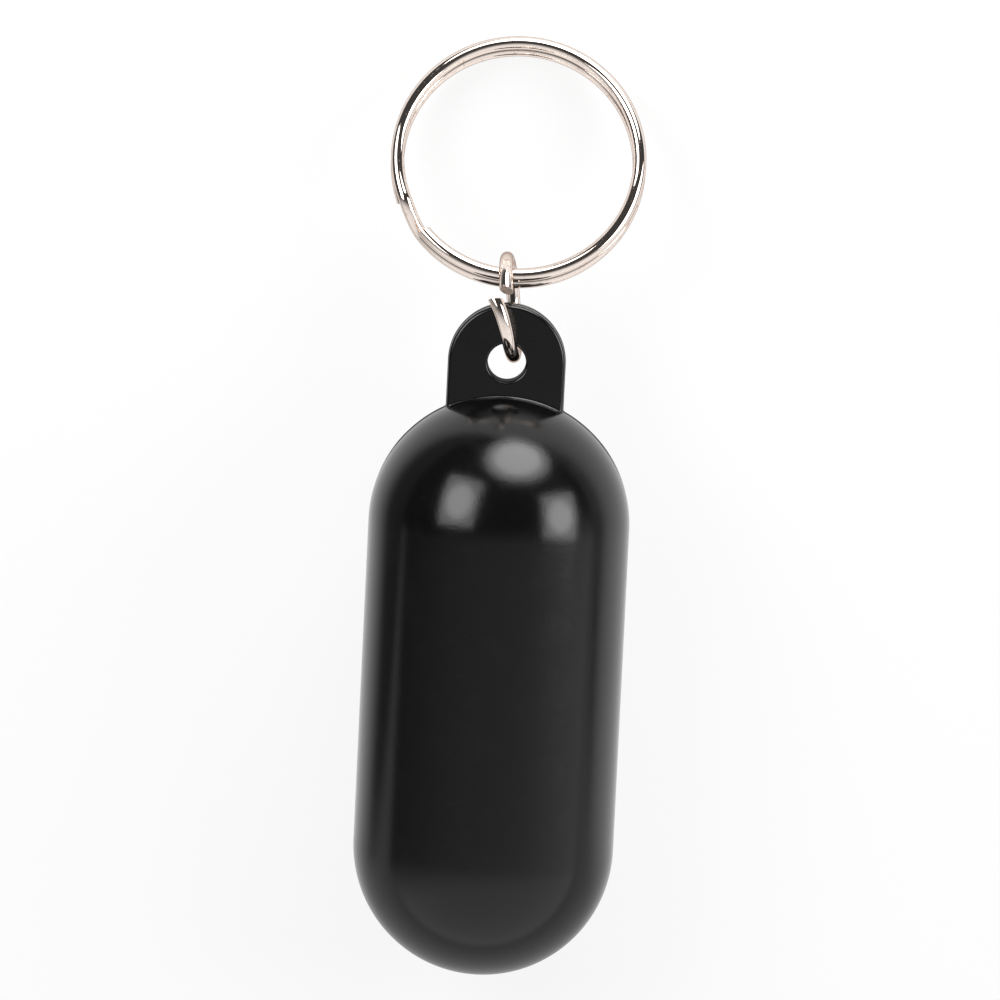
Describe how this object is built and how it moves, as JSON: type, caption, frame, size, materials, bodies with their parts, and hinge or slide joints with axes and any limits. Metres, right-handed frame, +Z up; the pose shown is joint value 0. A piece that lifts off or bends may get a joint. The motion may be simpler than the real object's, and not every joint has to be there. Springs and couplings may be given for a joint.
{
  "type": "floating keychain",
  "caption": "Sealed capsule-shaped float in black plastic with a flat hanging tab, an open jump ring and a wound split ring for keys.",
  "frame": {"origin": "middle of the footprint, on the surface that the keychain lies on", "axes": "+Y along the float's axis from its plain end towards the rings, +Z up out of the surface, +X across"},
  "size_m": [0.0288, 0.1026, 0.0286],
  "materials": {
    "float": "satin",
    "jump_ring_wire": "polished nickel plate",
    "split_ring_wire": "polished nickel plate"
  },
  "bodies": {
    "float": {"float_body": "float"},
    "jump_ring": {"jump_ring": "jump_ring_wire"},
    "split_ring": {"split_ring": "split_ring_wire"}
  },
  "joints": [
    {"name": "jump_ring_swing", "type": "hinge", "parent": "float", "child": "jump_ring", "pos_m": [0.00025, 0.02143, 0.0143], "axis": [1, 0, 0], "range_deg": [-66, 90]},
    {"name": "split_ring_swing", "type": "hinge", "parent": "jump_ring", "child": "split_ring", "pos_m": [-0.00023, 0.02768, 0.01155], "axis": [0, 0.4033, 0.9151], "range_deg": [-36, 43]}
  ]
}
